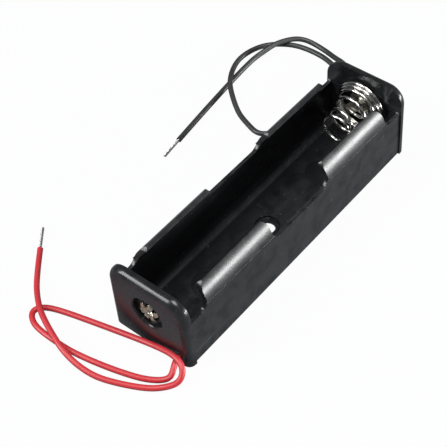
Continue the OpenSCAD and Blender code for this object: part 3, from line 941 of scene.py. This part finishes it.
class CELLHOLDER_OT_contacts(bpy.types.Operator):
    """Make the rivets, their tags and the solder"""
    bl_idname = "cellholder.contacts"
    bl_label = "Contacts"

    def rivet(self, name, side, head_radius, head_height, head_x, settings, material, tree):
        """Head and shank turned in one, and the split end's petals."""
        shank, wall, roll = RIVET_SHANK, RIVET_WALL, PETAL_ROLL
        recess = HALF_LENGTH - RECESS_DEPTH
        cap = (head_radius ** 2 + head_height ** 2) / (2 * head_height)
        widest = math.asin(min(1.0, head_radius / cap))
        dome = [(head_x - head_height + cap * (1 - math.cos(widest * k / 14)),
                 cap * math.sin(widest * k / 14)) for k in range(14)]
        rim = [(head_x - 0.00012, head_radius - 0.00001), (head_x - 0.00003, head_radius - 0.00002),
               (head_x, head_radius - 0.0001)]
        profile = [(dome[0][0], 0.0)] + dome[1:] + rim + [
            (head_x, shank), (recess + 0.0001, shank), (recess + 0.0001, shank - wall),
            (head_x + 0.0004, shank - wall), (head_x + 0.0001, 0.0)]
        centre = Vector((0, 0, AXIS_HEIGHT))
        turned = lathed(f"{name}_turned", profile, centre, material, out=side)
        middle = roll - wall / 2
        hub = shank - wall + roll
        work = bmesh.new()
        rows, columns = 16, 6
        skins = []
        for depth in (wall / 2, -wall / 2):
            skin = []
            for i in range(rows + 1):
                part = i / rows
                curl = math.pi * (1.04 * part)
                r = hub - (middle + depth) * math.cos(curl)
                out = (middle + depth) * math.sin(curl)
                wide = settings.petal_width / 2
                wide *= 0.86 + 0.22 * math.sin(math.pi * min(1, part * 1.1))
                if part > 0.8:
                    wide *= math.sqrt(max(0.02, 1 - ((part - 0.8) / 0.21) ** 2))
                row = []
                for j in range(columns + 1):
                    across = (2 * j / columns - 1) * wide
                    bent = math.sqrt(max(r * r - across * across, 1e-12)) if part < 0.25 else r
                    r_here = bent * (1 - part * 4) + r * part * 4 if part < 0.25 else r
                    row.append(work.verts.new((
                        max(out, 0.00002) + 0.00002 * (1 - (2 * j / columns - 1) ** 2),
                        across, r_here)))
                skin.append(row)
            skins.append(skin)
        for skin in skins:
            for i in range(rows):
                for j in range(columns):
                    work.faces.new((skin[i][j], skin[i + 1][j], skin[i + 1][j + 1],
                                    skin[i][j + 1]))
        front, back = skins
        for i in range(rows):
            for j in (0, columns):
                work.faces.new((front[i][j], back[i][j], back[i + 1][j], front[i + 1][j]))
        for i in (0, rows):
            for j in range(columns):
                work.faces.new((front[i][j], front[i][j + 1], back[i][j + 1], back[i][j]))
        bmesh.ops.recalc_face_normals(work, faces=work.faces)
        for face in work.faces:
            face.smooth = True
        mesh = bpy.data.meshes.new(f"{name}_petals")
        work.to_mesh(mesh)
        work.free()
        petal = new_object(f"{name}_petals", mesh, material)
        rounded = petal.modifiers.new("round the edges", "BEVEL")
        rounded.width = 0.00005
        rounded.segments = 2
        rounded.limit_method = "ANGLE"
        rounded.angle_limit = math.radians(50)
        petal = settle(petal)
        petals = tree.put_on(petal, {
            "Material": material, "Petals": settings.petals,
            "Centre": (side * recess, 0, AXIS_HEIGHT),
            "Facing": 0.0 if side > 0 else math.pi})
        return join(name, turned, petals)

    def solder(self, name, side, material):
        """A low, slightly uneven dome over the conductor's end."""
        centre = (SOLDER_LOW + SOLDER_HIGH) / 2
        foot = SOLDER_HIGH.x
        radius = (SOLDER_HIGH.y - SOLDER_LOW.y) / 2
        height = SOLDER_HIGH.x - SOLDER_LOW.x
        rows, columns = 12, 36
        dice = random.Random(4 + side)
        lobes = [(dice.uniform(0, 6.28), dice.uniform(0.01, 0.035)) for _ in range(3)]
        verts, faces = [], []
        for i in range(rows + 1):
            slope = math.pi / 2 * i / rows
            for k in range(columns):
                angle = 2 * math.pi * k / columns
                swell = 1 - 0.05 + sum(a * math.cos((n + 2) * angle + p)
                                       for n, (p, a) in enumerate(lobes)) * math.cos(slope)
                r = radius * math.cos(slope) ** 0.8 * swell if i < rows else 0
                verts.append((side * (foot - height * math.sin(slope) * 0.98),
                              side * (centre.y + r * math.cos(angle)),
                              centre.z + r * math.sin(angle)))
        for i in range(rows):
            for k in range(columns):
                a, b = i * columns + k, i * columns + (k + 1) % columns
                faces.append((a, b, b + columns, a + columns))
        faces.append(tuple(range(columns - 1, -1, -1)))
        mesh = bpy.data.meshes.new(name)
        mesh.from_pydata(verts, [], faces)
        tidy(mesh)
        for face in mesh.polygons:
            face.use_smooth = len(face.vertices) < 5
        return new_object(name, mesh, material)

    def execute(self, context):
        settings = context.scene.cell_contacts
        plated = plated_metal("plated rivet", settings.colour, (0.40, 0.36, 0.22), rough=0.2)
        pressed = plated_metal("plated tag", settings.tag_colour, (0.55, 0.48, 0.34), rough=0.26)
        tinny = bright_solder("bright solder")
        tree = petal_tree()
        for side, end in ((-1, "positive"), (1, "negative")):
            low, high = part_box(f"{end}_rivet")
            if side < 0:
                low, high = Vector((-high.x, low.y, low.z)), Vector((-low.x, high.y, high.z))
            head_radius, head_height = RIVET_HEADS[end]
            rivet = self.rivet(f"{end}_split_rivet", side, head_radius, head_height,
                               low.x + head_height, settings, plated, tree)
            tag = softened(f"{end}_tag", f"{end}_pressed_tag", pressed, 0.00005, sharp=50,
                           wear=False)
            blob = self.solder(f"{end}_solder", side, tinny)
            for piece, node, slot in ((rivet, f"{end}_rivet", "plated_brass"),
                                      (tag, f"{end}_tag", "plated_brass"),
                                      (blob, f"{end}_solder_joint", "solder")):
                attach(piece, "holder")
                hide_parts(node)
        return {"FINISHED"}


class CELLHOLDER_OT_spring(bpy.types.Operator):
    """Wind the conical contact spring"""
    bl_idname = "cellholder.spring"
    bl_label = "Spring"

    def execute(self, context):
        settings = context.scene.cell_spring
        radius = settings.wire / 2
        plated = plated_wire("plated spring wire", settings.colour)
        seed = polyline("wound_spring", [(0, 0, 0), (0.001, 0, 0)])
        spring = spring_tree().put_on(seed, {
            "Material": plated, "Wire Radius": radius, "Base Radius": settings.base_radius,
            "Tip Radius": settings.tip_radius, "Turns": settings.turns,
            "Base X": SPRING_HIGH.x - radius, "Tip X": SPRING_LOW.x + radius,
            "Axis Z": AXIS_HEIGHT})
        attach(spring, "spring_tip")
        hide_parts("contact_spring")
        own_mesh(spring)
        return {"FINISHED"}


class CELLHOLDER_PT_panel(bpy.types.Panel):
    bl_label = "Cell holder"
    bl_idname = "CELLHOLDER_PT_panel"
    bl_space_type = "VIEW_3D"
    bl_region_type = "UI"
    bl_category = "Cell holder"

    def draw(self, context):
        for operator, group in PARTS:
            box = self.layout.box()
            box.operator(operator.bl_idname)
            settings = getattr(context.scene, group)
            for key in settings.__annotations__:
                box.prop(settings, key)


PARTS = (
    (CELLHOLDER_OT_stage, "cell_stage"),
    (CELLHOLDER_OT_leads, "cell_leads"),
    (CELLHOLDER_OT_tray, "cell_tray"),
    (CELLHOLDER_OT_contacts, "cell_contacts"),
    (CELLHOLDER_OT_spring, "cell_spring"),
)
GROUPS = {
    "cell_stage": StageSettings,
    "cell_leads": LeadSettings,
    "cell_tray": TraySettings,
    "cell_contacts": ContactSettings,
    "cell_spring": SpringSettings,
}
CLASSES = (*GROUPS.values(), *(operator for operator, _ in PARTS), CELLHOLDER_PT_panel)


def register():
    for cls in CLASSES:
        bpy.utils.register_class(cls)
    for name, group in GROUPS.items():
        setattr(bpy.types.Scene, name, bpy.props.PointerProperty(type=group))


def unregister():
    for name in GROUPS:
        delattr(bpy.types.Scene, name)
    for cls in reversed(CLASSES):
        bpy.utils.unregister_class(cls)


def main():
    register()
    bpy.ops.cellholder.stage()
    bpy.ops.cellholder.leads()
    bpy.ops.cellholder.tray()
    bpy.ops.cellholder.contacts()
    bpy.ops.cellholder.spring()
    bpy.context.view_layer.update()


if __name__ == "__main__":
    main()
